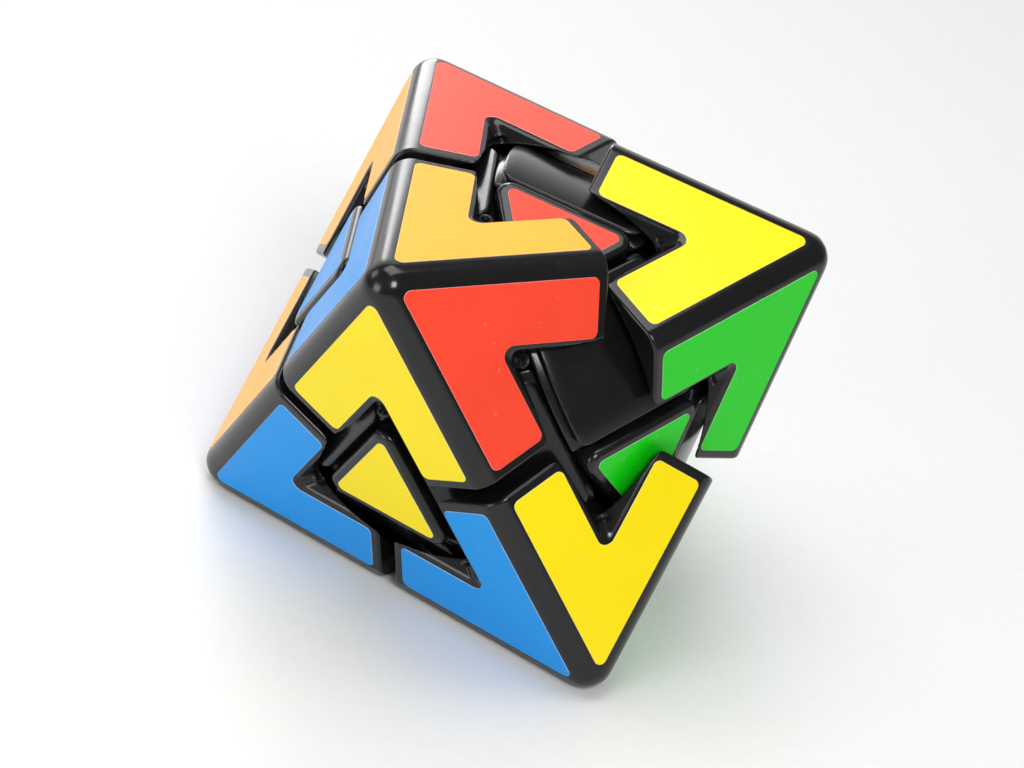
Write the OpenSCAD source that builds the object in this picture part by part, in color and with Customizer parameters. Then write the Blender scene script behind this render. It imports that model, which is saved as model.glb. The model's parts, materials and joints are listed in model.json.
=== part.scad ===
// Octahedral twisty puzzle that turns about its six corners.
// It stands on one face, with +Z up and the origin at the middle of that face.
// The design frame has its origin at the middle of the puzzle and one corner on each half axis:
// +X front, -X back, +Y upper right, -Y lower left, +Z upper left, -Z lower right.

/* [Overall] */
// Distance from the middle of the puzzle to each sharp corner of the octahedron
corner_reach = 67; // [66:0.5:68]
// Angle by which the upper right layer stands turned from square
layer_turn = 28.3; // [0:0.1:90]

/* [Caps] */
// Half of the width of a cap's arm, measured square to its ridge
arm_half_width = 12; // [11.6:0.1:12.2]
// Gap between two arms that meet end to end on a ridge
arm_end_gap = 3.2; // [2.6:0.1:4]
// Radius along the ridges
ridge_round = 4.4; // [3:0.1:4.5]
// Radius at the corner of the octahedron
tip_round = 5.3; // [4:0.1:6]
// Thickness of the hollow middle of a cap
cap_wall = 2.2; // [1.8:0.1:2.6]
// Radius of the four posts in the inner corners of a cap
post_radius = 1.5; // [1.2:0.1:1.6]

/* [Corner pieces] */
// Distance of the three sides of a corner piece from the mid planes of the puzzle
corner_side = 15.1; // [14.6:0.1:15.4]
// Depth of a corner piece's face below the caps' faces
corner_recess = 0.4; // [0.3:0.1:0.8]
// Radius of a corner piece's outline at its points
corner_round = 2.8; // [2.6:0.1:3.4]

/* [Edge pieces] */
// Distance of the raised pad's ends from the mid planes of the puzzle
pad_end = 15.6; // [15:0.2:18]
// Half of the raised pad's width
pad_half_width = 13.2; // [11:0.1:13.2]
// Radius of the pad's curved top about the middle of the puzzle
pad_radius = 38; // [36:0.1:38.2]
// Depth of the shoulder around the pad
pad_step = 1.6; // [1:0.1:2.5]

/* [Mechanism] */
// Radius of the ball that holds every piece under the caps
inner_radius = 40.4; // [40.3:0.05:40.45]
// Distance of the cuts between the layers from the middle of the puzzle
layer_cut = 13.4; // [13.3:0.05:13.5]
// Distance of the cuts between the feet from the middle of the puzzle
foot_cut = 8; // [7.9:0.05:8.1]
// Gap left on each side of a cut
cut_gap = 0.15; // [0.1:0.05:0.2]
// Inner radius of the feet
foot_low = 20.3; // [20.2:0.1:20.6]
// Outer radius of the feet
foot_high = 26.8; // [26.5:0.1:26.8]
// Inner radius of the flanges that hold the feet down
flange_low = 27; // [27:0.1:27.2]
// Radius of a cap's stem above its flange
stem_radius = 12.8; // [12.4:0.1:12.9]
// Radius of a stem's hub between the feet
hub_radius = 7.3; // [6.8:0.1:7.5]

/* [Screws and springs] */
// Radius of a screw's shank
screw_radius = 1.5; // [1.3:0.1:1.6]
// Radius of a screw's head
screw_head_radius = 2.9; // [2.6:0.1:3.1]
// Mean radius of a spring's coil
spring_radius = 2.7; // [2.5:0.1:2.8]
// Radius of the spring wire
wire_radius = 0.4; // [0.3:0.05:0.45]
// Number of turns in a spring
spring_turns = 5; // [4:1:6]

/* [Stickers] */
// Thickness of a sticker
sticker_thick = 0.2; // [0.15:0.05:0.3]
// Distance from a ridge to the outer side of a chevron
chevron_outer = 3.2; // [3.1:0.1:4]
// Distance from a ridge to the inner side of a chevron
chevron_inner = 14.1; // [13:0.1:14.2]
// Distance from the middle of a ridge to the end of a chevron
chevron_end = 3.5; // [3.2:0.1:4.5]
// Distance from the ridges to the sides of a triangle sticker
triangle_side = 20.7; // [20.5:0.1:22]
// Radius of the stickers' corners
sticker_round = 1.4; // [0.8:0.1:2]

/* [Hidden] */
$fn = 96;
CORNERS = ["front", "back", "upper_right", "lower_left", "upper_left", "lower_right"];
// Turn that takes +Z to each corner
AIM = [[0, 90, 0], [0, -90, 0], [-90, 0, 0], [90, 0, 0], [0, 0, 0], [180, 0, 0]];
FACES = ["top", "rear", "rear_left", "left", "front", "right", "rear_right", "base"];
// The four faces around each corner, in the order of its cap's quarters
FACES_AT = [
    ["right", "top", "left", "front"],
    ["rear", "rear_right", "base", "rear_left"],
    ["right", "rear_right", "rear", "top"],
    ["left", "rear_left", "base", "front"],
    ["top", "rear", "rear_left", "left"],
    ["front", "base", "rear_right", "right"]
];
PLASTIC = "#161618";
RED = "#e8402e";
ORANGE = "#f6a423";
YELLOW = "#fbe303";
GREEN = "#1fae2c";
BLUE = "#0a86d6";
WHITE = "#f2f2ee";
PURPLE = "#6d3aa6";
PINK = "#f08ab4";
CHEVRON_COLOURS = [
    [RED, ORANGE, BLUE, YELLOW],
    [WHITE, GREEN, PINK, PURPLE],
    [GREEN, WHITE, RED, YELLOW],
    [ORANGE, PURPLE, PINK, BLUE],
    [RED, WHITE, PURPLE, ORANGE],
    [BLUE, PINK, GREEN, YELLOW]
];
TRIANGLE_COLOURS = [RED, ORANGE, PURPLE, BLUE, YELLOW, GREEN, WHITE, PINK];
UPPER_RIGHT = 2;
TURNED_FACES = ["top", "rear", "right", "rear_right"];
QUARTERS = [0:3];

big = 3 * corner_reach;
face_distance = corner_reach / sqrt(3);
face_lean = acos(1 / sqrt(3));
ridge_length = corner_reach * sqrt(2);
face_tip = ridge_length / sqrt(3);
shell_low = inner_radius + 0.25;
cone_gap = 0.15;
fit_gap = 0.05;
// Sockets and plugs that hold a cap on its stem
plug_radius = 10.8;
plug_top = 45;
socket_radius = 11;
stem_bore = 9.4;
stem_floor = 29.5;
// Heights along each pivot
arm_top = 21;
hub_bottom = 21.2;
spring_seat = 24;
spring_length = 7;
spring_pocket = 4.2;
washer_thick = 0.6;
washer_radius = 3.8;
screw_head_height = 2.2;
screw_bottom = 9;
core_radius = 12;
core_arm_radius = 5.5;
post_place = arm_half_width + 1;
post_bottom = 37.1;
post_top = 37.8;

function unit(v) = v / norm(v);

// Points of an arc of radius r that rounds the corner b between a and c
function corner_arc(a, b, c, r) =
    let (
        u = unit(a - b),
        v = unit(c - b),
        half = acos(u * v) / 2,
        centre = b + unit(u + v) * r / sin(half),
        from = b + u * r / tan(half) - centre,
        to = b + v * r / tan(half) - centre,
        start = atan2(from.y, from.x),
        sweep = (atan2(to.y, to.x) - start + 540) % 360 - 180,
        steps = 6
    )
    [for (k = [0:steps]) centre + r * [cos(start + sweep * k / steps), sin(start + sweep * k / steps)]];

function rounded(points, r) =
    let (n = len(points))
    [for (i = [0:n - 1]) each corner_arc(points[(i + n - 1) % n], points[i], points[(i + 1) % n], r)];

// A point on a face, given the distance along a ridge from its corner and the distance in from it
function from_ridge(along, in, side) =
    [-face_tip + along * cos(30) + in * sin(30), side * (along * sin(30) - in * cos(30))];

function chevron_outline() =
    let (end = ridge_length / 2 - chevron_end)
    [
        [-face_tip + 2 * chevron_outer, 0],
        from_ridge(end, chevron_outer, -1),
        from_ridge(end, chevron_inner, -1),
        [-face_tip + 2 * chevron_inner, 0],
        from_ridge(end, chevron_inner, 1),
        from_ridge(end, chevron_outer, 1)
    ];

// Equal-sided triangle about the middle of a face, pointing at its corners
function triangle_outline(inradius) =
    [for (k = [0:2]) 2 * inradius * [cos(180 + 120 * k), sin(180 + 120 * k)]];

// Stands the design frame on one face
module stand() {
    translate([0, 0, face_distance])
        rotate([0, 0, -30])
            rotate([0, -face_lean, 0])
                rotate([0, 0, -45])
                    children();
}

// Turns what belongs to the upper right layer
module in_layer(turned) {
    rotate([0, turned ? layer_turn : 0, 0])
        children();
}

// Places a piece that is drawn about +Z at corner i
module at_corner(i) {
    stand()
        in_layer(i == UPPER_RIGHT)
            rotate(AIM[i])
                children();
}

// Places a piece that is drawn in the all-positive eighth of the design frame at face i
module at_face(i) {
    turned = [for (face = TURNED_FACES) if (face == FACES[i]) face] != [];
    stand()
        in_layer(turned)
            rotate([0, 0, 90 * (i % 4)])
                rotate([i < 4 ? 0 : 180, 0, 0])
                    children();
}

// Draws on the face in the first quarter: +X points away from the corner at +Z
module on_face() {
    rotate([0, 0, 45])
        rotate([0, face_lean, 0])
            translate([0, 0, face_distance])
                children();
}

module octahedron(reach) {
    intersection_for (q = QUARTERS)
        rotate([0, 0, 45 + 90 * q])
            rotate([0, face_lean, 0])
                cube([big, big, 2 * reach / sqrt(3)], center = true);
}

// Two crossed arms that reach from corner +Z towards the four corners around it
module arm_cross() {
    start = arm_end_gap / 2 * sqrt(2);
    for (turn = [0, 90])
        rotate([90, 0, turn])
            linear_extrude(2 * arm_half_width, center = true)
                polygon([[0, start], [big, start + big], [-big, start + big]]);
}

// All that a cap may fill, so that it turns clear of its neighbours and of the pieces under it
module turning_space() {
    difference() {
        translate([0, 0, cone_gap])
            cylinder(h = corner_reach, r1 = 0, r2 = corner_reach);
        sphere(shell_low);
    }
}

// What is taken off the ridge that runs from +Z towards +X to round it
module ridge_trim() {
    crest = corner_reach / sqrt(2);
    rotate([0, 45, 0])
        difference() {
            translate([-corner_reach, -10, crest - ridge_round / sqrt(6)])
                cube([2 * corner_reach, 20, 10]);
            translate([0, 0, crest - ridge_round * sqrt(1.5)])
                rotate([0, 90, 0])
                    cylinder(h = big, r = ridge_round, center = true);
        }
}

// What is taken off the corner to round it
module tip_trim() {
    crest = corner_reach - ridge_round * (sqrt(3) - sqrt(2));
    middle = crest - sqrt(2) * tip_round;
    difference() {
        translate([-10, -10, middle + tip_round / sqrt(2)])
            cube([20, 20, 20]);
        translate([0, 0, middle])
            sphere(tip_round);
    }
}

module chevron_solid() {
    on_face()
        translate([0, 0, -sticker_thick])
            linear_extrude(sticker_thick)
                polygon(rounded(chevron_outline(), sticker_round));
}

module plug_socket() {
    intersection() {
        cylinder(h = corner_reach, r = socket_radius);
        octahedron(corner_reach - cap_wall * sqrt(3));
    }
}

// Outer shell at one corner, with four arms along the ridges
module cap() {
    color(PLASTIC) {
        difference() {
            intersection() {
                octahedron(corner_reach);
                arm_cross();
                turning_space();
            }
            plug_socket();
            tip_trim();
            for (q = QUARTERS)
                rotate([0, 0, 90 * q]) {
                    ridge_trim();
                    chevron_solid();
                }
        }
        for (q = QUARTERS)
            rotate([0, 0, 90 * q])
                translate([post_place, post_place, post_bottom])
                    cylinder(h = post_top - post_bottom, r = post_radius);
    }
}

// Inner half of a cap: hub, flange over the feet, hollow column and plug
module stem() {
    color(PLASTIC)
        difference() {
            union() {
                difference() {
                    intersection() {
                        cylinder(h = corner_reach, r = stem_radius);
                        sphere(shell_low - fit_gap);
                    }
                    sphere(flange_low);
                }
                translate([0, 0, stem_floor])
                    cylinder(h = plug_top - stem_floor, r = plug_radius);
                translate([0, 0, hub_bottom])
                    cylinder(h = stem_floor - hub_bottom, r = hub_radius);
            }
            translate([0, 0, stem_floor])
                cylinder(h = corner_reach, r = stem_bore);
            translate([0, 0, spring_seat])
                cylinder(h = corner_reach, r = spring_pocket);
            cylinder(h = corner_reach, r = screw_radius + 0.2);
        }
}

// Everything beyond a cut plane along each axis of the first eighth
module beyond(cut) {
    translate([1, 1, 1] * (cut + cut_gap))
        cube(big);
}

module ball_shell(low, high) {
    difference() {
        sphere(high);
        sphere(low);
    }
}

// Three-sided piece under the middle of a face
module corner_piece() {
    face_middle = (corner_reach - corner_recess * sqrt(3)) / 3;
    inradius = (face_middle - corner_side) * sqrt(1.5);
    head_low = 34;
    color(PLASTIC)
        difference() {
            intersection() {
                sphere(inner_radius);
                union() {
                    intersection() {
                        beyond(layer_cut);
                        union() {
                            on_face()
                                translate([0, 0, head_low - face_distance])
                                    linear_extrude(face_distance - corner_recess - head_low)
                                        polygon(rounded(triangle_outline(inradius), corner_round));
                            sphere(head_low + 2.6);
                        }
                    }
                    intersection() {
                        ball_shell(foot_low, foot_high);
                        beyond(foot_cut);
                    }
                }
            }
            triangle_solid();
        }
}

module triangle_solid() {
    inradius = ridge_length / (2 * sqrt(3)) - triangle_side;
    on_face()
        translate([0, 0, -corner_recess - sticker_thick])
            linear_extrude(sticker_thick)
                polygon(rounded(triangle_outline(inradius), sticker_round * 0.8));
}

// Everything between two cut planes along Z that is also beyond a cut along X and Y
module edge_zone(side_cut, half_width) {
    translate([side_cut + cut_gap, side_cut + cut_gap, -half_width + cut_gap])
        cube([big, big, 2 * (half_width - cut_gap)]);
}

// Bar with a round top that runs along the ridge between corners +X and +Y
module ridge_bar(radius) {
    rotate([90, 0, 45])
        cylinder(h = big, r = radius, center = true);
}

// Piece under the place where two arms meet, between corners +X and +Y
module edge_piece() {
    neck_top = 30;
    color(PLASTIC) {
        intersection() {
            ball_shell(flange_low, inner_radius - pad_step);
            edge_zone(layer_cut, layer_cut);
            ridge_bar(pad_radius - pad_step);
        }
        intersection() {
            ball_shell(flange_low, inner_radius);
            edge_zone(pad_end, pad_half_width);
            ridge_bar(pad_radius);
        }
        intersection() {
            ball_shell(foot_low, neck_top);
            edge_zone(layer_cut, foot_cut);
        }
        intersection() {
            ball_shell(foot_low, foot_high);
            edge_zone(foot_cut, foot_cut);
        }
    }
}

// The four edge pieces of one layer: 1 upper right, 0 middle, -1 lower left
module edges(level) {
    stand()
        in_layer(level == 1)
            for (q = QUARTERS)
                rotate([0, 90 * q, 0])
                    rotate(level == 0 ? [90, 0, 0] : [0, 0, level == 1 ? 0 : -90])
                        edge_piece();
}

// Six-armed spider that the screws hold all six stems to
module core() {
    color("#d8d8d2")
        stand()
            difference() {
                union() {
                    sphere(core_radius);
                    for (aim = AIM)
                        rotate(aim)
                            cylinder(h = arm_top, r = core_arm_radius);
                }
                for (aim = AIM)
                    rotate(aim)
                        translate([0, 0, screw_bottom - 1])
                            cylinder(h = corner_reach, r = screw_radius + fit_gap);
            }
}

module screw() {
    head_bottom = spring_seat + spring_length + washer_thick;
    recess = screw_head_radius * 0.45;
    difference() {
        union() {
            translate([0, 0, screw_bottom])
                cylinder(h = head_bottom - screw_bottom, r = screw_radius);
            translate([0, 0, head_bottom])
                cylinder(h = screw_head_height, r = screw_head_radius);
        }
        for (turn = [0, 90])
            translate([0, 0, head_bottom + screw_head_height])
                rotate([0, 0, turn])
                    cube([3 * recess, 0.8, 2.4], center = true);
    }
}

module pivot_screws() {
    color("silver")
        for (i = [0:5])
            at_corner(i)
                screw();
}

module pivot_washers() {
    color("gainsboro")
        for (i = [0:5])
            at_corner(i)
                translate([0, 0, spring_seat + spring_length])
                    difference() {
                        cylinder(h = washer_thick, r = washer_radius);
                        translate([0, 0, -1])
                            cylinder(h = 3, r = screw_radius + fit_gap);
                    }
}

// Ring of the spring's wire at a share of its length, from 0 to 1
function wire_ring(share, sides) =
    let (
        turn = 360 * spring_turns * share,
        out = [cos(turn), sin(turn), 0],
        height = wire_radius + fit_gap + (spring_length - 2 * wire_radius - 2 * fit_gap) * share
    )
    [for (k = [0:sides - 1])
        out * (spring_radius + wire_radius * cos(360 * k / sides))
        + [0, 0, height + wire_radius * sin(360 * k / sides)]];

module spring() {
    sides = 6;
    rings = 12 * spring_turns;
    points = [for (i = [0:rings]) each wire_ring(i / rings, sides)];
    start_cap = [[for (k = [0:sides - 1]) k]];
    end_cap = [[for (k = [0:sides - 1]) rings * sides + sides - 1 - k]];
    walls = [for (i = [0:rings - 1]) for (k = [0:sides - 1]) each [
        [i * sides + k, (i + 1) * sides + k, (i + 1) * sides + (k + 1) % sides],
        [i * sides + k, (i + 1) * sides + (k + 1) % sides, i * sides + (k + 1) % sides]
    ]];
    polyhedron(points, concat(start_cap, walls, end_cap));
}

module pivot_springs() {
    color("lightgray")
        for (i = [0:5])
            at_corner(i)
                translate([0, 0, spring_seat])
                    spring();
}

core();
pivot_screws();
pivot_washers();
pivot_springs();
edges(1);  // edges_upper_right
edges(0);  // edges_middle
edges(-1);  // edges_lower_left
for (i = [0:5]) {
    at_corner(i) cap();
    at_corner(i) stem();
    for (q = QUARTERS)
        at_corner(i) rotate([0, 0, 90 * q]) color(CHEVRON_COLOURS[i][q]) chevron_solid();
}
for (i = [0:7]) {
    at_face(i) corner_piece();
    at_face(i) color(TRIANGLE_COLOURS[i]) triangle_solid();
}
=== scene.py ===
"""Looks of the octahedral twisty puzzle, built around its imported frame."""
import json
import math
import random

import bmesh
import bpy
import numpy as np
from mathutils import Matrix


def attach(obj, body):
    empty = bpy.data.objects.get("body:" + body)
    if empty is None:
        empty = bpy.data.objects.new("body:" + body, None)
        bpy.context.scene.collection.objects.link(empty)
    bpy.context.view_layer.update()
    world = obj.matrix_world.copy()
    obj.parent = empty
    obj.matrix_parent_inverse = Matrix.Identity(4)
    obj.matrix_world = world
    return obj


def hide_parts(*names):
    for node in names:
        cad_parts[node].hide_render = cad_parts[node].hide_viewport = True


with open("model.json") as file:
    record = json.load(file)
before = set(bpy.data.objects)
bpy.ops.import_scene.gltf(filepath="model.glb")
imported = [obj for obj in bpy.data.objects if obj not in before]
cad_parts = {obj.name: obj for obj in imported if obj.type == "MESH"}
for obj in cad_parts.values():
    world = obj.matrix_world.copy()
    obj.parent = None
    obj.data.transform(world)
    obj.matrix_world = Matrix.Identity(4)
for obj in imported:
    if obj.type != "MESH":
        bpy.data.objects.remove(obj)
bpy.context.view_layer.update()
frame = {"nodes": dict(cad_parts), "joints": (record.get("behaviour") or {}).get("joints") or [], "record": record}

import openvdb
from mathutils import Matrix, Vector

# Sizes are in millimetres and angles in degrees, unless a comment says otherwise.
METRES = 0.001
ROOT2 = math.sqrt(2)
ROOT3 = math.sqrt(3)
LAYER_TURN = 28.3
SEED = 7

# The camera, about a point near the middle of the puzzle
CAMERA_DISTANCE = 502.5
CAMERA_AZIMUTH = 27.24
CAMERA_ELEVATION = 30.66
CAMERA_ROLL = 12.81
CAMERA_AIM = (2.4, -1.0, 35.4)
CAMERA_LENS = 94.58

# Caps, which all lie outside a ball of radius SHELL_LOW
ARM_HALF_WIDTH = 12.0
ARM_END_GAP = 3.2
RIDGE_ROUND = 4.4
TIP_DROP = 3.75
TIP_CLEAR = 0.4
TIP_BLEND = 0.8
NOTCH_ROUND = 2.0
ARM_END_ROUND = 1.2
MOULD_EDGE = 0.7
SHELL_LOW = 40.5
SHELL_LOW_EDGE = 0.3
CAP_WALL = 2.2
SOCKET_RADIUS = 11.0
CONE_GAP = 0.15

# Posts in the inner corners of a cap
POST_PLACE = 13.0
POST_RADIUS = 1.5
POST_BOTTOM = 37.1
POST_TOP = 37.8
POST_CROSS = 1.05
POST_CROSS_HALF_WIDTH = 0.24
POST_CROSS_DEPTH = 0.55
POST_EDGE = 0.25
POST_CROSS_EDGE = 0.12

# Pieces under the caps, which all lie inside a ball of radius INNER_RADIUS. The cuts are planes at
# this distance from the middle of the puzzle.
INNER_RADIUS = 40.35
LAYER_CUT = 13.55
EDGE_HALF_WIDTH = 13.25
FOOT_CUT = 8.15
FOOT_HALF_WIDTH = 7.85
FOOT_LOW = 20.3
FOOT_HIGH = 26.8
FLANGE_LOW = 27.0
CORNER_SIDE = 15.1
CORNER_RECESS = 0.4
CORNER_ROUND = 2.8
CORNER_EDGE = 1.2
CORNER_SHOULDER = 36.6
CORNER_HEAD_LOW = 34.0
CORNER_FILLET = 0.5
PAD_END = 15.75
PAD_HALF_WIDTH = 13.05
PAD_RADIUS = 38.0
PAD_STEP = 1.6
PAD_CORNER = 1.7
PAD_EDGE = 0.5
PAD_FILLET = 0.4
NECK_TOP = 30.0
INNER_EDGE = 0.6

# Stems
STEM_RADIUS = 12.8
STEM_BORE = 9.4
STEM_FLOOR = 29.5
PLUG_RADIUS = 10.8
PLUG_TOP = 45.0
HUB_RADIUS = 7.3
HUB_BOTTOM = 21.2
SPRING_SEAT = 24.0
SPRING_POCKET = 4.2
SCREW_BORE = 1.7
STEM_EDGE = 0.35
STEM_CLEAR = 0.05
STEM_SIDES = 96
FLANGE_POINTS = 7
SHOULDER_POINTS = 4
SHARP_ANGLE = 35

# Stickers. The outer and inner sides of a chevron, and the sides of a triangle, are this far in from
# the ridges of their face. A chevron ends this far from the middle of a ridge.
STICKER_THICK = 0.12
STICKER_BEVEL = 0.04
CHEVRON_OUTER = 3.2
CHEVRON_INNER = 14.1
CHEVRON_END = 3.5
TRIANGLE_SIDE = 20.7
STICKER_ROUND = 1.3
NOTCH_STICKER_ROUND = 1.9
TRIANGLE_ROUND = 1.1
ARC_STEPS = 10
STICKER_SLIP = 0.12
STICKER_SKEW = 0.25

# The room's light, as the brightness of its walls, which grows from dim to bright between two cosines
# of the angle from its bright side
BRIGHT_SIDE = (-0.7, 0.7, -0.1)
ROOM_DIM = 0.22
ROOM_BRIGHT = 1.5
BRIGHT_STARTS = 0.45
BRIGHT_FULL = 1.0

# Soft lights: name, place and side in metres, power in watts
LIGHTS = (
    ("top", (-0.15, 0.05, 0.9), 0.6, 4.7),
    ("back", (-0.75, 0.75, 0.35), 0.4, 3.0),
    ("left", (-0.8, -0.35, 0.55), 0.35, 1.3),
    ("right", (0.55, -0.55, 0.75), 0.35, 6.3),
    ("front", (-0.35, -0.95, 0.25), 0.4, 2.4),
)
# Half of the floor's side, in metres
FLOOR_HALF_SIDE = 6.0

# Fineness of the moulded meshes, and the share of their faces that is kept
FINE_STEP = 0.3
POST_STEP = 0.12
SETTLE_ROUNDS = 3
KEEP_FACES = 0.16
KEEP_ALL = 1.0

# Room left round a solid when it is moulded. A cap has nothing below the first height, and nothing
# nearer than the second to the corner that its ridges point at.
MARGIN = 1
POST_MARGIN = 0.4
CAP_LOW = 24.0
CAP_TOP_ROOM = 2.0

# Reach over which an edge counts as sharp, and how fast its wear grows
WEAR_REACH = 0.5
WEAR_GAIN = 0.6

CORNERS = {
    "front": Matrix.Rotation(math.radians(90), 4, "Y"),
    "back": Matrix.Rotation(math.radians(-90), 4, "Y"),
    "upper_right": Matrix.Rotation(math.radians(-90), 4, "X"),
    "lower_left": Matrix.Rotation(math.radians(90), 4, "X"),
    "upper_left": Matrix.Identity(4),
    "lower_right": Matrix.Rotation(math.radians(180), 4, "X"),
}
FACES = ("top", "rear", "rear_left", "left", "front", "right", "rear_right", "base")
TURNED_FACES = ("top", "rear", "right", "rear_right")
# The faces round each corner, in the order of its cap's quarters
FACES_AT = {
    "front": ("right", "top", "left", "front"),
    "back": ("rear", "rear_right", "base", "rear_left"),
    "upper_right": ("right", "rear_right", "rear", "top"),
    "lower_left": ("left", "rear_left", "base", "front"),
    "upper_left": ("top", "rear", "rear_left", "left"),
    "lower_right": ("front", "base", "rear_right", "right"),
}
STICKER_COLOURS = {
    "red": (0.90, 0.062, 0.028),
    "orange": (0.93, 0.44, 0.02),
    "yellow": (0.94, 0.74, 0.0),
    "green": (0.004, 0.62, 0.004),
    "blue": (0.001, 0.28, 0.76),
    "white": (0.86, 0.86, 0.83),
    "purple": (0.16, 0.045, 0.40),
    "pink": (0.86, 0.24, 0.44),
}

record = frame["record"]
joints = {joint["name"]: joint for joint in frame["joints"]}
node_slot = {part["node"]: part["material_slot"] for part in record["subparts"]}
node_body = {node: body for body, nodes in record["behaviour"]["bodies"].items() for node in nodes}

# The puzzle stands on a face, so its middle is as high as its faces are far from it.
FACE_DISTANCE = joints["turn_front"]["pos_m"][2] / METRES
CORNER_REACH = FACE_DISTANCE * ROOT3
RIDGE_LENGTH = CORNER_REACH * ROOT2
FACE_TIP = RIDGE_LENGTH / ROOT3
# Angle between an axis and the direction that a face looks in, in radians
FACE_LEAN = math.acos(1 / ROOT3)


# ---------------------------------------------------------------- placing

def standing_frame():
    """The design frame: X, Y and Z point at the front, upper right and upper left corners."""
    axes = [Vector(joints[f"turn_{name}"]["axis"]) for name in ("front", "upper_right", "upper_left")]
    turned = Matrix((axes[0], axes[1], axes[2])).transposed().to_4x4()
    return Matrix.Translation(Vector(joints["turn_front"]["pos_m"])) @ turned


STAND = standing_frame()
LAYER = Matrix.Rotation(math.radians(LAYER_TURN), 4, "Y")
ON_FACE = (
    Matrix.Rotation(math.radians(45), 4, "Z")
    @ Matrix.Rotation(FACE_LEAN, 4, "Y")
    @ Matrix.Translation((0, 0, FACE_DISTANCE * METRES))
)


def quarter_turn(count, axis="Z"):
    return Matrix.Rotation(math.radians(90 * count), 4, axis)


def at_corner(name):
    layer = LAYER if name == "upper_right" else Matrix.Identity(4)
    return STAND @ layer @ CORNERS[name]


def at_face(index):
    layer = LAYER if FACES[index] in TURNED_FACES else Matrix.Identity(4)
    flip = Matrix.Rotation(math.radians(0 if index < 4 else 180), 4, "X")
    return STAND @ layer @ quarter_turn(index % 4) @ flip


def add_piece(name, mesh, place, node):
    """Adds a piece that stands for a CAD node and moves with that node's body."""
    placed = mesh.copy()
    placed.name = name
    placed.transform(place)
    piece = bpy.data.objects.new(name, placed)
    bpy.context.scene.collection.objects.link(piece)
    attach(piece, node_body[node])
    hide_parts(node)
    return piece


# ---------------------------------------------------------------- solid fields
# A field gives the distance from a surface in millimetres, below zero inside the solid.

def meet(fields, radius):
    """Common part of several solids, with its outer edges rounded."""
    stack = np.stack(fields)
    outside = np.sqrt(np.sum(np.maximum(stack + radius, 0) ** 2, axis=0))
    return np.minimum(stack.max(axis=0), -radius) + outside


def join(a, b, radius):
    """Two solids together, with a fillet where they meet."""
    inside = np.sqrt(np.maximum(radius - a, 0) ** 2 + np.maximum(radius - b, 0) ** 2)
    return np.maximum(np.minimum(a, b), radius) - inside


def soft_max(a, b, width):
    """Common part of two solids, with a soft edge where their surfaces cross."""
    return np.maximum(a, b) + np.maximum(width - np.abs(a - b), 0) ** 2 / (4 * width)


def ball(x, y, z):
    return np.sqrt(x * x + y * y + z * z)


def octahedron(x, y, z, reach):
    """Exact distance from an octahedron."""
    p = np.abs(np.stack((x, y, z)))
    over = p.sum(axis=0) - reach
    small = p.argmin(axis=0)
    near = np.take_along_axis(p, small[None], 0)[0]
    a = np.take_along_axis(p, ((small + 1) % 3)[None], 0)[0]
    b = np.take_along_axis(p, ((small + 2) % 3)[None], 0)[0]
    along = np.clip(0.5 * (b - a + reach), 0, reach)
    to_ridge = np.sqrt(near ** 2 + (a - reach + along) ** 2 + (b - along) ** 2)
    return np.where(3 * near < over, to_ridge, over / ROOT3)


def tip_limit(x, y, z):
    """Rounded cone that blunts the corner at +Z without touching the ridges."""
    crest = CORNER_REACH - RIDGE_ROUND * (ROOT3 - ROOT2) + TIP_CLEAR * ROOT2
    top = CORNER_REACH - TIP_DROP
    radius = (crest - top) / (ROOT2 - 1)
    middle = crest - ROOT2 * radius
    out = np.sqrt(x * x + y * y)
    up = z - middle
    return np.where(up > out, np.sqrt(out ** 2 + up ** 2), (out + up) / ROOT2) - radius


def arm_field(across, along, z):
    """The pair of arms that run either way along one axis."""
    sides = np.abs(across) - ARM_HALF_WIDTH
    ends = (np.abs(along) - z) / ROOT2 + ARM_END_GAP / 2
    return meet((sides, ends), ARM_END_ROUND)


def cap_field(x, y, z):
    """A cap at +Z: the rounded skin of the puzzle, cut down to four arms and hollow underneath."""
    face_reach = CORNER_REACH - (STICKER_THICK + RIDGE_ROUND) * ROOT3
    skin = octahedron(x, y, z, face_reach) - RIDGE_ROUND
    skin = soft_max(skin, tip_limit(x, y, z), TIP_BLEND)
    arms = join(arm_field(y, x, z), arm_field(x, y, z), NOTCH_ROUND)
    solid = meet((skin, arms), MOULD_EDGE)
    out = np.sqrt(x * x + y * y)
    solid = np.maximum(solid, (out - z + CONE_GAP) / ROOT2)
    solid = meet((solid, SHELL_LOW - ball(x, y, z)), SHELL_LOW_EDGE)
    inner = (np.abs(x) + np.abs(y) + z - CORNER_REACH) / ROOT3 + CAP_WALL
    socket = np.maximum(inner, out - SOCKET_RADIUS)
    return np.maximum(solid, -socket)


def post_field(x, y, z):
    """A round post along Z, with a cross slot in its top."""
    out = np.sqrt(x * x + y * y)
    body = meet((out - POST_RADIUS, z - POST_TOP, POST_BOTTOM - z), POST_EDGE)
    bars = np.minimum(
        np.maximum(np.abs(x) - POST_CROSS, np.abs(y) - POST_CROSS_HALF_WIDTH),
        np.maximum(np.abs(y) - POST_CROSS, np.abs(x) - POST_CROSS_HALF_WIDTH),
    )
    return soft_max(body, -np.maximum(bars, POST_TOP - POST_CROSS_DEPTH - z), POST_CROSS_EDGE)


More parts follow.
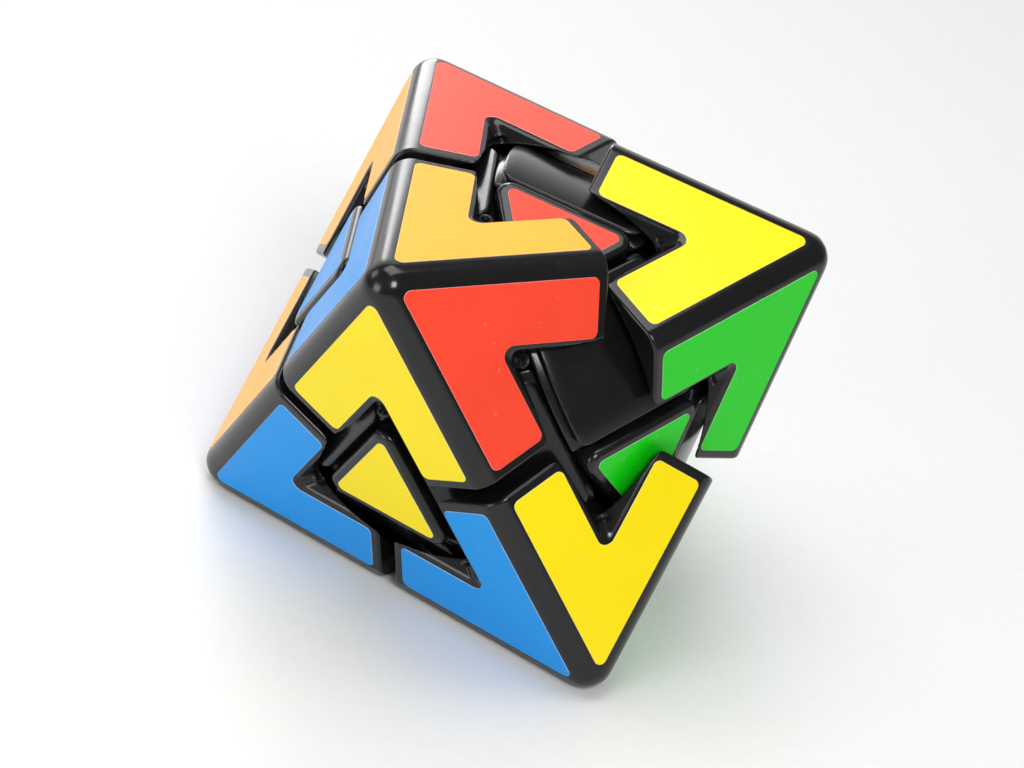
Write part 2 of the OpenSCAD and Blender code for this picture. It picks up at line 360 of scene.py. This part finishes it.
def triangle_plan(u, v, inradius, radius):
    """Exact distance in the plane of a face from a rounded triangle that points along -u."""
    half_side = (inradius - radius) * ROOT3
    px = np.abs(v) - half_side
    py = -u + half_side / ROOT3
    fold = px + ROOT3 * py > 0
    qx = np.where(fold, (px - ROOT3 * py) / 2, px)
    qy = np.where(fold, (-ROOT3 * px - py) / 2, py)
    qx = qx - np.clip(qx, -2 * half_side, 0)
    return -np.sqrt(qx ** 2 + qy ** 2) * np.sign(qy) - radius


def corner_field(x, y, z):
    """The piece under the middle of the face between +X, +Y and +Z."""
    up = (x + y + z) / ROOT3
    u = (x + y - 2 * z) / math.sqrt(6)
    v = (y - x) / ROOT2
    face = FACE_DISTANCE - CORNER_RECESS
    inradius = (face / ROOT3 - CORNER_SIDE) * math.sqrt(1.5)
    plan = triangle_plan(u, v, inradius, CORNER_ROUND)
    head = meet((plan, up - face + STICKER_THICK), CORNER_EDGE)
    head = np.maximum(np.maximum(head, CORNER_HEAD_LOW - up), ball(x, y, z) - INNER_RADIUS)
    head = np.maximum(head, LAYER_CUT - np.minimum(np.minimum(x, y), z))
    base = meet((LAYER_CUT - x, LAYER_CUT - y, LAYER_CUT - z, ball(x, y, z) - CORNER_SHOULDER), INNER_EDGE)
    foot = meet(
        (FOOT_CUT - x, FOOT_CUT - y, FOOT_CUT - z, ball(x, y, z) - FOOT_HIGH, FOOT_LOW - ball(x, y, z)),
        INNER_EDGE,
    )
    return np.minimum(join(head, base, CORNER_FILLET), foot)


def edge_field(x, y, z):
    """The piece under the middle of the ridge between +X and +Y."""
    far = ball(x, y, z)
    across = np.abs(z)
    bar = np.sqrt((x + y) ** 2 / 2 + z * z) - PAD_RADIUS
    shoulder = meet(
        (LAYER_CUT - x, LAYER_CUT - y, across - EDGE_HALF_WIDTH, far - INNER_RADIUS + PAD_STEP,
         bar + PAD_STEP, FLANGE_LOW - far),
        INNER_EDGE,
    )
    plan = meet((PAD_END - x, PAD_END - y, across - PAD_HALF_WIDTH), PAD_CORNER)
    pad = meet((plan, far - INNER_RADIUS, bar, FLANGE_LOW - far), PAD_EDGE)
    neck = meet(
        (LAYER_CUT - x, LAYER_CUT - y, across - FOOT_HALF_WIDTH, far - NECK_TOP, FOOT_LOW - far),
        INNER_EDGE,
    )
    foot = meet(
        (FOOT_CUT - x, FOOT_CUT - y, across - FOOT_HALF_WIDTH, far - FOOT_HIGH, FOOT_LOW - far),
        INNER_EDGE,
    )
    return np.minimum(np.minimum(join(pad, shoulder, PAD_FILLET), neck), foot)


# ---------------------------------------------------------------- meshes

def slope(field, points, reach=0.01):
    """Direction in which the field grows fastest at each point."""
    grown = np.empty_like(points)
    for axis in range(3):
        step = np.zeros(3)
        step[axis] = reach
        grown[:, axis] = field(*(points + step).T) - field(*(points - step).T)
    return grown / np.maximum(np.linalg.norm(grown, axis=1, keepdims=True), 1e-9)


def settle(field, points, step):
    """Moves the points onto the field's surface."""
    for _ in range(SETTLE_ROUNDS):
        away = np.clip(field(*points.T), -step, step)
        points = points - away[:, None] * slope(field, points)
    return points


def edge_amount(field, points):
    """How sharply the surface is rounded outwards at each point, from 0 to 1."""
    directions = np.vstack((np.eye(3), -np.eye(3))) * WEAR_REACH
    total = sum(field(*(points + step).T) for step in directions)
    return np.clip(total / WEAR_REACH * WEAR_GAIN, 0, 1)


def mould(name, field, low, high, step, keep=KEEP_FACES):
    """Mesh of a field's surface, in metres, with smooth normals taken from the field."""
    axes = [np.arange(a, b + step, step) for a, b in zip(low, high)]
    values = field(*np.meshgrid(*axes, indexing="ij")).astype(np.float32)
    grid = openvdb.FloatGrid(step * 3)
    grid.copyFromArray(values)
    points, triangles, quads = grid.convertToPolygons(0.0, 0.0)
    points = settle(field, points.astype(float) * step + np.array(low), step)
    mesh = bpy.data.meshes.new(name)
    faces = [tuple(int(i) for i in face) for face in (*triangles, *quads)]
    mesh.from_pydata(points * METRES, [], faces)
    thinned = thin_out(mesh, keep)
    finish_surface(thinned, field, step)
    return thinned


def thin_out(mesh, keep):
    """Keeps a share of a mesh's faces, most of them where it curves."""
    holder = bpy.data.objects.new(mesh.name, mesh)
    bpy.context.scene.collection.objects.link(holder)
    decimate = holder.modifiers.new("thin", "DECIMATE")
    decimate.ratio = keep
    bpy.context.view_layer.update()
    shown = holder.evaluated_get(bpy.context.evaluated_depsgraph_get())
    thinned = bpy.data.meshes.new_from_object(shown)
    bpy.data.objects.remove(holder)
    bpy.data.meshes.remove(mesh)
    return thinned


def finish_surface(mesh, field, step):
    """Settles the mesh on its field, and gives it the field's normals and edge amounts."""
    points = np.empty(len(mesh.vertices) * 3)
    mesh.vertices.foreach_get("co", points)
    points = settle(field, points.reshape(-1, 3) / METRES, step)
    mesh.vertices.foreach_set("co", (points * METRES).ravel())
    mesh.polygons.foreach_set("use_smooth", np.ones(len(mesh.polygons), bool))
    worn = mesh.attributes.new("edge_amount", "FLOAT", "POINT")
    worn.data.foreach_set("value", edge_amount(field, points).astype(np.float32))
    mesh.normals_split_custom_set_from_vertices(slope(field, points))
    mesh.update()


def arc(centre, radius, start, end, steps):
    turns = [start + (end - start) * k / steps for k in range(steps + 1)]
    return [centre + radius * Vector((math.cos(turn), math.sin(turn))) for turn in turns]


def rounded(points, radii):
    """Outline with an arc at every corner."""
    outline = []
    for k, corner in enumerate(points):
        before = (points[k - 1] - corner).normalized()
        after = (points[(k + 1) % len(points)] - corner).normalized()
        half = before.angle(after) / 2
        radius = radii[k]
        centre = corner + (before + after).normalized() * radius / math.sin(half)
        start = corner + before * radius / math.tan(half) - centre
        end = corner + after * radius / math.tan(half) - centre
        first = math.atan2(start.y, start.x)
        turn = (math.atan2(end.y, end.x) - first + math.pi) % (2 * math.pi) - math.pi
        outline += arc(centre, radius, first, first + turn, ARC_STEPS)
    return outline


def from_ridge(along, inward, side):
    """A point on a face, from its corner along a ridge and then in from it."""
    return Vector((
        -FACE_TIP + along * math.cos(math.radians(30)) + inward * 0.5,
        side * (along * 0.5 - inward * math.cos(math.radians(30))),
    ))


def chevron_outline():
    end = RIDGE_LENGTH / 2 - CHEVRON_END
    points = [
        Vector((-FACE_TIP + 2 * CHEVRON_OUTER, 0)),
        from_ridge(end, CHEVRON_OUTER, -1),
        from_ridge(end, CHEVRON_INNER, -1),
        Vector((-FACE_TIP + 2 * CHEVRON_INNER, 0)),
        from_ridge(end, CHEVRON_INNER, 1),
        from_ridge(end, CHEVRON_OUTER, 1),
    ]
    radii = [STICKER_ROUND] * 3 + [NOTCH_STICKER_ROUND] + [STICKER_ROUND] * 2
    return rounded(points, radii)


def triangle_outline():
    inradius = RIDGE_LENGTH / (2 * ROOT3) - TRIANGLE_SIDE
    points = [
        2 * inradius * Vector((math.cos(math.radians(180 + 120 * k)), math.sin(math.radians(180 + 120 * k))))
        for k in range(3)
    ]
    return rounded(points, [TRIANGLE_ROUND] * 3)


def sticker_mesh(name, outline):
    """A flat sticker with its top at height 0, a cut edge and a fine bevel round its top."""
    count = len(outline)
    mesh = bpy.data.meshes.new(name)
    builder = bmesh.new()
    rings = []
    for inset, height in ((0, -STICKER_THICK), (0, -STICKER_BEVEL), (STICKER_BEVEL, 0)):
        ring = []
        for k, point in enumerate(outline):
            run = outline[(k + 1) % count] - outline[k - 1]
            inward = Vector((-run.y, run.x)).normalized()
            x, y = (point + inward * inset) * METRES
            ring.append(builder.verts.new((x, y, height * METRES)))
        rings.append(ring)
    for low, high in zip(rings, rings[1:]):
        for k in range(count):
            wall = builder.faces.new((low[k], low[(k + 1) % count], high[(k + 1) % count], high[k]))
            wall.material_index = 1
    builder.faces.new(rings[-1])
    builder.faces.new(list(reversed(rings[0])))
    bmesh.ops.recalc_face_normals(builder, faces=builder.faces)
    builder.to_mesh(mesh)
    builder.free()
    return mesh


def ball_section(radius, first, last, count):
    """Points along a ball's section, as (radius, height), from one distance from its axis to another."""
    leans = np.linspace(math.asin(first / radius), math.asin(last / radius), count)
    return [(radius * math.sin(lean), radius * math.cos(lean)) for lean in leans]


def stem_profile():
    """Radius and height of each corner of a stem's section, from the hub's bore round to itself."""
    flange = ball_section(FLANGE_LOW, HUB_RADIUS, STEM_RADIUS, FLANGE_POINTS)
    shoulder = ball_section(SHELL_LOW - STEM_CLEAR, STEM_RADIUS, PLUG_RADIUS, SHOULDER_POINTS)
    return [
        (HUB_RADIUS, HUB_BOTTOM), *flange, *shoulder,
        (PLUG_RADIUS, PLUG_TOP), (STEM_BORE, PLUG_TOP), (STEM_BORE, STEM_FLOOR),
        (SPRING_POCKET, STEM_FLOOR), (SPRING_POCKET, SPRING_SEAT),
        (SCREW_BORE, SPRING_SEAT), (SCREW_BORE, HUB_BOTTOM),
    ]


def lathe(name, profile, sides):
    """Closed profile of (radius, height) turned about Z."""
    mesh = bpy.data.meshes.new(name)
    builder = bmesh.new()
    rings = []
    for k in range(sides):
        turn = 2 * math.pi * k / sides
        rings.append([
            builder.verts.new((r * math.cos(turn) * METRES, r * math.sin(turn) * METRES, z * METRES))
            for r, z in profile
        ])
    count = len(profile)
    for k, ring in enumerate(rings):
        after = rings[(k + 1) % sides]
        for j in range(count):
            following = (j + 1) % count
            wall = builder.faces.new((ring[j], after[j], after[following], ring[following]))
            wall.smooth = True
    bmesh.ops.recalc_face_normals(builder, faces=builder.faces)
    builder.to_mesh(mesh)
    builder.free()
    return mesh


def soften_edges(piece, width, segments=3):
    bevel = piece.modifiers.new("soft edges", "BEVEL")
    bevel.width = width * METRES
    bevel.segments = segments
    bevel.limit_method = "ANGLE"
    bevel.angle_limit = math.radians(SHARP_ANGLE)
    bevel.harden_normals = True


# ---------------------------------------------------------------- materials

class Shader:
    """A material's node tree, with short ways to add and join nodes."""

    def __init__(self, name):
        self.material = bpy.data.materials.new(name)
        self.material.use_nodes = True
        self.nodes = self.material.node_tree.nodes
        self.surface = self.nodes["Principled BSDF"]

    def add(self, kind, settings=(), **inputs):
        node = self.nodes.new(f"ShaderNode{kind}")
        for key, value in dict(settings).items():
            setattr(node, key, value)
        for key, value in inputs.items():
            self.feed(node.inputs[key.replace("_", " ")], value)
        return node

    def feed(self, socket, value):
        if isinstance(value, bpy.types.NodeSocket):
            self.material.node_tree.links.new(value, socket)
        else:
            socket.default_value = value

    def set(self, **inputs):
        for key, value in inputs.items():
            self.feed(self.surface.inputs[key.replace("_", " ")], value)

    def place(self):
        """Coordinates that go with each piece."""
        return self.add("TexCoord").outputs["Object"]

    def stretch(self, vector, scale, turn=(0, 0, 0)):
        return self.add("Mapping", Vector=vector, Scale=scale, Rotation=turn).outputs["Vector"]

    def noise(self, vector, scale, detail=2.0, roughness=0.5):
        node = self.add("TexNoise", Vector=vector, Scale=scale, Detail=detail, Roughness=roughness)
        return node.outputs["Fac"]

    def spread(self, value, low, high, out_low, out_high):
        node = self.add("MapRange")
        sockets = ("Value", "From Min", "From Max", "To Min", "To Max")
        for name, number in zip(sockets, (value, low, high, out_low, out_high)):
            self.feed(node.inputs[name], number)
        return node.outputs["Result"]

    def math(self, operation, a, b):
        node = self.add("Math", {"operation": operation})
        self.feed(node.inputs[0], a)
        self.feed(node.inputs[1], b)
        return node.outputs["Value"]

    def mix(self, amount, a, b):
        node = self.add("Mix", {"data_type": "RGBA"})
        self.feed(node.inputs["Factor"], amount)
        self.feed(node.inputs[6], a)
        self.feed(node.inputs[7], b)
        return node.outputs[2]

    def bump(self, height, strength, distance, normal=None):
        node = self.add("Bump", Height=height, Strength=strength, Distance=distance)
        if normal is not None:
            self.feed(node.inputs["Normal"], normal)
        return node.outputs["Normal"]


def scratches(shader, place, turn, scale):
    """Thin, sparse streaks that run one way."""
    streaks = shader.noise(shader.stretch(place, (1, 18, 18), turn), scale, 3.0, 0.6)
    return shader.spread(streaks, 0.66, 0.72, 0.0, 1.0)


def black_plastic(name, gloss):
    """Moulded black plastic: polished tool marks, handling haze, fine scratches and rubbed edges."""
    shader = Shader(name)
    place = shader.place()
    haze = shader.noise(place, 45.0, 4.0, 0.6)
    grain = shader.noise(place, 1800.0, 2.0)
    fine = scratches(shader, place, (0.3, 0.5, 0.9), 55.0)
    cross = scratches(shader, place, (1.1, 0.2, 2.3), 48.0)
    marks = shader.math("MAXIMUM", fine, cross)
    edge = shader.add("Attribute", {"attribute_name": "edge_amount"}).outputs["Fac"]
    patchy = shader.spread(shader.noise(place, 160.0, 5.0, 0.7), 0.45, 0.7, 0.0, 1.0)
    rubbed = shader.math("MULTIPLY", edge, patchy)
    tone = shader.mix(haze, (0.004, 0.004, 0.0042, 1), (0.007, 0.0068, 0.0068, 1))
    tone = shader.mix(shader.math("MULTIPLY", rubbed, 0.35), tone, (0.06, 0.058, 0.057, 1))
    rough = shader.spread(haze, 0.35, 0.7, gloss, gloss + 0.09)
    rough = shader.math("ADD", rough, shader.math("MULTIPLY", marks, 0.10))
    rough = shader.math("ADD", rough, shader.math("MULTIPLY", rubbed, 0.12))
    waves = shader.noise(place, 70.0, 1.0)
    normal = shader.bump(waves, 0.10, 0.0002)
    normal = shader.bump(grain, 0.04, 0.00003, normal)
    shader.set(Base_Color=tone, Roughness=rough, Normal=normal, IOR=1.49, Specular_IOR_Level=0.42)
    return shader.material


def vinyl(name, colour):
    """Printed vinyl under a clear satin film."""
    shader = Shader(name)
    place = shader.place()
    cloud = shader.noise(place, 60.0, 3.0, 0.55)
    peel = shader.noise(place, 900.0, 2.0, 0.4)
    speck = shader.spread(shader.noise(place, 700.0, 1.0), 0.72, 0.76, 0.0, 1.0)
    marks = scratches(shader, place, (0.2, 0.4, 1.3), 40.0)
    light = tuple(min(1.0, c * 1.03 + 0.004) for c in colour) + (1,)
    dark = tuple(c * 0.93 for c in colour) + (1,)
    tone = shader.mix(cloud, dark, light)
    tone = shader.mix(shader.math("MULTIPLY", speck, 0.06), tone, (0.8, 0.8, 0.8, 1))
    rough = shader.spread(cloud, 0.35, 0.7, 0.30, 0.40)
    rough = shader.math("ADD", rough, shader.math("MULTIPLY", marks, 0.08))
    normal = shader.bump(peel, 0.05, 0.00003)
    shader.set(Base_Color=tone, Roughness=rough, Normal=normal)
    shader.set(IOR=1.38, Specular_IOR_Level=0.35, Coat_Weight=0.06, Coat_Roughness=0.15)
    return shader.material


def vinyl_edge_painted_highlight(name, colour):
    """The cut edge of a sticker, coloured pale: a painted highlight where the clear film catches the light, over
    the cut edge's own paler tone.
    """
    shader = Shader(name)
    place = shader.place()
    cloud = shader.noise(place, 900.0, 2.0)
    # The pale tone is a painted highlight of the clear film catching the light.
    painted_highlight_pale = tuple(0.45 + 0.5 * c for c in colour) + (1,)
    half = tuple(0.2 + 0.7 * c for c in colour) + (1,)
    shader.set(Base_Color=shader.mix(cloud, half, painted_highlight_pale), Roughness=shader.spread(cloud, 0.3, 0.7, 0.3, 0.5))
    return shader.material


def nylon(name):
    shader = Shader(name)
    place = shader.place()
    cloud = shader.noise(place, 90.0, 4.0)
    normal = shader.bump(shader.noise(place, 1500.0), 0.15, 0.00003)
    tone = shader.mix(cloud, (0.62, 0.60, 0.55, 1), (0.72, 0.71, 0.67, 1))
    shader.set(Base_Color=tone, Roughness=shader.spread(cloud, 0.3, 0.7, 0.4, 0.55), Normal=normal)
    shader.set(Subsurface_Weight=0.08, Subsurface_Scale=0.001)
    return shader.material


def steel(name, colour, rough_low, rough_high):
    shader = Shader(name)
    place = shader.place()
    streaks = shader.noise(shader.stretch(place, (1, 1, 12)), 900.0, 3.0)
    dark = tuple(c * 0.8 for c in colour) + (1,)
    tone = shader.mix(streaks, dark, colour + (1,))
    rough = shader.spread(streaks, 0.3, 0.7, rough_low, rough_high)
    shader.set(Base_Color=tone, Roughness=rough, Normal=shader.bump(streaks, 0.1, 0.00002))
    shader.set(Metallic=1.0)
    return shader.material


# ---------------------------------------------------------------- the puzzle

step = FINE_STEP
chance = random.Random(SEED)

shell_plastic = black_plastic("shell_plastic", 0.13)
inner_plastic = black_plastic("inner_plastic", 0.17)


def build_caps():
    reach = CORNER_REACH / 2 + MARGIN
    low = (-reach, -reach, CAP_LOW)
    high = (reach, reach, CORNER_REACH - CAP_TOP_ROOM)
    shell = mould("cap_shell", cap_field, low, high, step)
    shell.materials.append(shell_plastic)
    side = POST_RADIUS + POST_MARGIN
    low = (-side, -side, POST_BOTTOM - POST_MARGIN)
    high = (side, side, POST_TOP + POST_MARGIN)
    post = mould("cap_post", post_field, low, high, POST_STEP, KEEP_ALL)
    post.materials.append(inner_plastic)
    stem = lathe("cap_stem", stem_profile(), STEM_SIDES)
    stem.materials.append(inner_plastic)
    for name in CORNERS:
        place = at_corner(name)
        add_piece(f"shell_{name}", shell, place, f"cap_{name}")
        hub = add_piece(f"hub_{name}", stem, place, f"stem_{name}")
        soften_edges(hub, STEM_EDGE)
        for q in range(4):
            spot = Matrix.Translation((POST_PLACE * METRES, POST_PLACE * METRES, 0))
            turn = Matrix.Rotation(chance.uniform(0, math.pi / 2), 4, "Z")
            add_piece(f"post_{name}_{q + 1}", post, place @ quarter_turn(q) @ spot @ turn, f"cap_{name}")


def build_corner_pieces():
    reach = CORNER_REACH - 2 * LAYER_CUT
    low = FOOT_CUT - MARGIN
    mesh = mould("corner_piece", corner_field, (low, low, low), (reach, reach, reach), step)
    mesh.materials.append(shell_plastic)
    for index, face in enumerate(FACES):
        add_piece(f"tile_{face}", mesh, at_face(index), f"corner_{face}")


def build_edge_pieces():
    reach = INNER_RADIUS
    low = FOOT_CUT - MARGIN
    side = EDGE_HALF_WIDTH + MARGIN
    mesh = mould("edge_piece", edge_field, (low, low, -side), (reach, reach, side), step)
    mesh.materials.append(inner_plastic)
    levels = {
        "upper_right": LAYER,
        "middle": quarter_turn(1, "X"),
        "lower_left": quarter_turn(-1),
    }
    for level, lay in levels.items():
        for q in range(4):
            place = STAND @ quarter_turn(q, "Y") @ lay
            add_piece(f"bridge_{level}_{q + 1}", mesh, place, f"edges_{level}")


def slipped():
    """The small error of a sticker that was laid by hand."""
    x, y = (chance.uniform(-STICKER_SLIP, STICKER_SLIP) * METRES for _ in range(2))
    skew = math.radians(chance.uniform(-STICKER_SKEW, STICKER_SKEW))
    return Matrix.Translation((x, y, 0)) @ Matrix.Rotation(skew, 4, "Z")


def build_stickers():
    vinyls = {name: vinyl(f"vinyl_{name}", colour) for name, colour in STICKER_COLOURS.items()}
    edges = {name: vinyl_edge_painted_highlight(f"vinyl_edge_painted_highlight_{name}", colour) for name, colour in STICKER_COLOURS.items()}
    meshes = {}

    def coloured(kind, outline, node):
        colour = node_slot[node].removesuffix("_sticker")
        if (kind, colour) not in meshes:
            mesh = sticker_mesh(f"{kind}_{colour}", outline)
            mesh.materials.append(vinyls[colour])
            # The second slot, on the sticker's cut edge, carries a painted highlight.
            mesh.materials.append(edges[colour])
            meshes[kind, colour] = mesh
        return meshes[kind, colour]

    chevron = chevron_outline()
    for name, faces in FACES_AT.items():
        for q, face in enumerate(faces):
            node = f"chevron_{name}_{face}"
            place = at_corner(name) @ quarter_turn(q) @ ON_FACE @ slipped()
            add_piece(f"sticker_{name}_{face}", coloured("chevron", chevron, node), place, node)
    triangle = triangle_outline()
    sunk = Matrix.Translation((0, 0, -CORNER_RECESS * METRES))
    for index, face in enumerate(FACES):
        node = f"triangle_{face}"
        place = at_face(index) @ ON_FACE @ sunk @ slipped()
        add_piece(f"sticker_{face}", coloured("triangle", triangle, node), place, node)


def dress_cad_nodes():
    """Materials for the pieces inside, whose shapes stay as they are."""
    finishes = {
        "core": nylon("core_nylon"),
        "pivot_screws": steel("screw_steel", (0.62, 0.61, 0.58), 0.2, 0.35),
        "pivot_washers": steel("washer_steel", (0.60, 0.60, 0.60), 0.25, 0.4),
        "pivot_springs": steel("spring_steel", (0.55, 0.55, 0.56), 0.2, 0.3),
    }
    for node, finish in finishes.items():
        mesh = frame["nodes"][node].data
        mesh.materials.clear()
        mesh.materials.append(finish)


# ---------------------------------------------------------------- the studio

def add_camera():
    camera = bpy.data.objects.new("camera", bpy.data.cameras.new("camera"))
    bpy.context.scene.collection.objects.link(camera)
    azimuth = math.radians(CAMERA_AZIMUTH)
    elevation = math.radians(CAMERA_ELEVATION)
    back = Vector((
        math.sin(azimuth) * math.cos(elevation),
        -math.cos(azimuth) * math.cos(elevation),
        math.sin(elevation),
    ))
    turned = back.to_track_quat("Z", "Y").to_matrix().to_4x4()
    roll = Matrix.Rotation(math.radians(CAMERA_ROLL), 4, "Z")
    aim = Vector(CAMERA_AIM) * METRES
    camera.matrix_world = Matrix.Translation(aim + back * CAMERA_DISTANCE * METRES) @ turned @ roll
    camera.data.lens = CAMERA_LENS
    camera.data.clip_start = 0.01
    bpy.context.scene.camera = camera


def add_light(name, place, size, power):
    """A square soft light that faces the middle of the puzzle."""
    light = bpy.data.lights.new(name, "AREA")
    light.size = size
    light.energy = power
    lamp = bpy.data.objects.new(name, light)
    bpy.context.scene.collection.objects.link(lamp)
    middle = Vector((0, 0, FACE_DISTANCE * METRES))
    turned = (Vector(place) - middle).to_track_quat("Z", "Y").to_matrix().to_4x4()
    lamp.matrix_world = Matrix.Translation(place) @ turned


def add_studio():
    floor = bpy.data.meshes.new("floor")
    side = FLOOR_HALF_SIDE
    edge_points = [(-side, -side, 0), (side, -side, 0), (side, side, 0), (-side, side, 0)]
    floor.from_pydata(edge_points, [], [(0, 1, 2, 3)])
    shader = Shader("floor_paper")
    speckle = shader.noise(shader.add("TexCoord").outputs["Object"], 400.0, 3.0)
    shader.set(Base_Color=shader.mix(speckle, (0.73, 0.73, 0.73, 1), (0.77, 0.77, 0.77, 1)), Roughness=0.7)
    floor.materials.append(shader.material)
    ground = bpy.data.objects.new("floor", floor)
    bpy.context.scene.collection.objects.link(ground)
    add_surroundings()
    bpy.context.scene.view_settings.view_transform = "Standard"
    for name, place, size, power in LIGHTS:
        add_light(name, place, size, power)


def add_surroundings():
    """White walls behind the puzzle and to its left, and a dim room on the camera's side."""
    world = bpy.data.worlds.new("studio")
    world.use_nodes = True
    nodes = world.node_tree.nodes
    links = world.node_tree.links
    background = nodes["Background"]
    background.inputs["Color"].default_value = (1.0, 1.0, 1.0, 1)
    facing = nodes.new("ShaderNodeVectorMath")
    facing.operation = "DOT_PRODUCT"
    facing.inputs[1].default_value = Vector(BRIGHT_SIDE).normalized()
    links.new(nodes.new("ShaderNodeTexCoord").outputs["Generated"], facing.inputs[0])
    strength = nodes.new("ShaderNodeMapRange")
    strength.interpolation_type = "SMOOTHSTEP"
    links.new(facing.outputs["Value"], strength.inputs["Value"])
    limits = {"From Min": BRIGHT_STARTS, "From Max": BRIGHT_FULL, "To Min": ROOM_DIM, "To Max": ROOM_BRIGHT}
    for name, value in limits.items():
        strength.inputs[name].default_value = value
    links.new(strength.outputs["Result"], background.inputs["Strength"])
    bpy.context.scene.world = world


add_camera()
add_studio()
build_caps()
build_corner_pieces()
build_edge_pieces()
build_stickers()
dress_cad_nodes()
